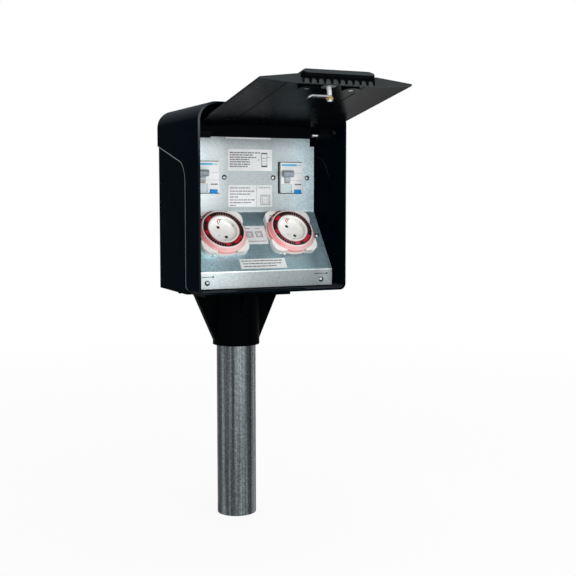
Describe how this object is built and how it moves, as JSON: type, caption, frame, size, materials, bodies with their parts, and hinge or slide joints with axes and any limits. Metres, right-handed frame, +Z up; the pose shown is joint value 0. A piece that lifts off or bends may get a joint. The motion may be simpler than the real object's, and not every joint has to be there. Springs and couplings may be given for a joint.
{
  "type": "garden socket post",
  "caption": "Hooded black socket box on a galvanised tube, with swing-up lid, cam lock, breakers and earthed socket timers on a folded steel panel.",
  "frame": {"origin": "on the tube axis at the cut lower end of the tube", "axes": "+Z up along the tube, -Y towards the open front of the hood, +X to the right seen from the front"},
  "size_m": [0.224, 0.385, 0.6433],
  "materials": {
    "galvanised_tube": "hot-dip galvanised, streaked",
    "galvanised_sheet": "galvanised sheet with fine spangle",
    "zinc_fastener": "bright zinc plated",
    "zinc_cam": "bright zinc plated",
    "chrome_lock": "polished plating",
    "brass_nut": "plain brass",
    "black_moulding": "satin moulded plastic",
    "black_grip": "satin moulded plastic",
    "rubber_black": "matt rubber",
    "grey_plastic": "matt moulded plastic",
    "label_white": "bare printed film without text",
    "breaker_white": "satin moulded plastic",
    "window_cyan": "pale tinted plate",
    "toggle_grey": "satin moulded plastic",
    "button_blue": "gloss moulded plastic",
    "timer_white": "satin moulded plastic",
    "dial_black": "satin moulded plastic",
    "rim_clear": "clear pink tinted moulding"
  },
  "bodies": {
    "post": {"post_tube": "galvanised_tube", "collar": "black_moulding", "collar_bolts": "zinc_fastener", "collar_nuts": "zinc_fastener", "collar_set_screws": "zinc_fastener", "rear_casing": "black_moulding", "casing_screws": "zinc_fastener", "hood": "black_moulding", "hood_screws": "zinc_fastener", "hinge_pins": "zinc_fastener", "instrument_panel": "galvanised_sheet", "panel_brackets": "galvanised_sheet", "panel_screws": "zinc_fastener", "apron_screws": "zinc_fastener", "label_plates": "label_white", "din_rail": "galvanised_sheet", "rail_standoffs": "zinc_fastener", "terminal_blocks": "grey_plastic", "cable_grommet": "rubber_black", "breaker_left_case": "breaker_white", "breaker_right_case": "breaker_white", "breaker_windows": "window_cyan", "timer_left_base": "timer_white", "timer_right_base": "timer_white", "timer_left_socket": "timer_white", "timer_right_socket": "timer_white", "contact_sleeves": "brass_nut", "earth_clips": "zinc_fastener"},
    "lid": {"lid": "black_moulding", "lid_handle": "black_grip", "handle_screws": "zinc_fastener", "lock_body": "chrome_lock", "lock_nut": "black_grip"},
    "lock": {"lock_core": "chrome_lock", "lock_cam": "zinc_cam", "cam_nut": "brass_nut", "cam_screw": "brass_nut"},
    "toggle_left": {"breaker_left_toggle": "toggle_grey"},
    "toggle_right": {"breaker_right_toggle": "toggle_grey"},
    "button_left": {"breaker_left_button": "button_blue"},
    "button_right": {"breaker_right_button": "button_blue"},
    "dial_left": {"timer_left_dial": "dial_black", "timer_left_rim": "rim_clear"},
    "dial_right": {"timer_right_dial": "dial_black", "timer_right_rim": "rim_clear"},
    "lever_left": {"timer_left_lever": "timer_white"},
    "lever_right": {"timer_right_lever": "timer_white"}
  },
  "joints": [
    {"name": "lid_hinge", "type": "hinge", "parent": "post", "child": "lid", "pos_m": [0, -0.116, 0.579], "axis": [1, 0, 0], "range_deg": [0, 93]},
    {"name": "lock_turn", "type": "hinge", "parent": "lid", "child": "lock", "pos_m": [0, -0.31874, 0.61548], "axis": [0, 0.1771, 0.9842], "range_deg": [0, 90]},
    {"name": "toggle_left_rock", "type": "hinge", "parent": "post", "child": "toggle_left", "pos_m": [-0.0747, -0.0585, 0.5165], "axis": [1, 0, 0], "range_deg": [0, 80]},
    {"name": "toggle_right_rock", "type": "hinge", "parent": "post", "child": "toggle_right", "pos_m": [0.0591, -0.0585, 0.5165], "axis": [1, 0, 0], "range_deg": [0, 80]},
    {"name": "button_left_press", "type": "slide", "parent": "post", "child": "button_left", "axis": [0, 1, 0], "range_m": [0, 0.0012], "stiffness_N_per_m": 200, "springref_m": -0.0005},
    {"name": "button_right_press", "type": "slide", "parent": "post", "child": "button_right", "axis": [0, 1, 0], "range_m": [0, 0.0012], "stiffness_N_per_m": 200, "springref_m": -0.0005},
    {"name": "dial_left_turn", "type": "hinge", "parent": "post", "child": "dial_left", "pos_m": [-0.054, -0.07944, 0.43593], "axis": [0, -0.8007, 0.599], "continuous": true},
    {"name": "dial_right_turn", "type": "hinge", "parent": "post", "child": "dial_right", "pos_m": [0.054, -0.07944, 0.43593], "axis": [0, -0.8007, 0.599], "continuous": true},
    {"name": "lever_left_slide", "type": "slide", "parent": "post", "child": "lever_left", "axis": [1, 0, 0], "range_m": [-0.0035, 0.0035]},
    {"name": "lever_right_slide", "type": "slide", "parent": "post", "child": "lever_right", "axis": [1, 0, 0], "range_m": [-0.0035, 0.0035]}
  ]
}
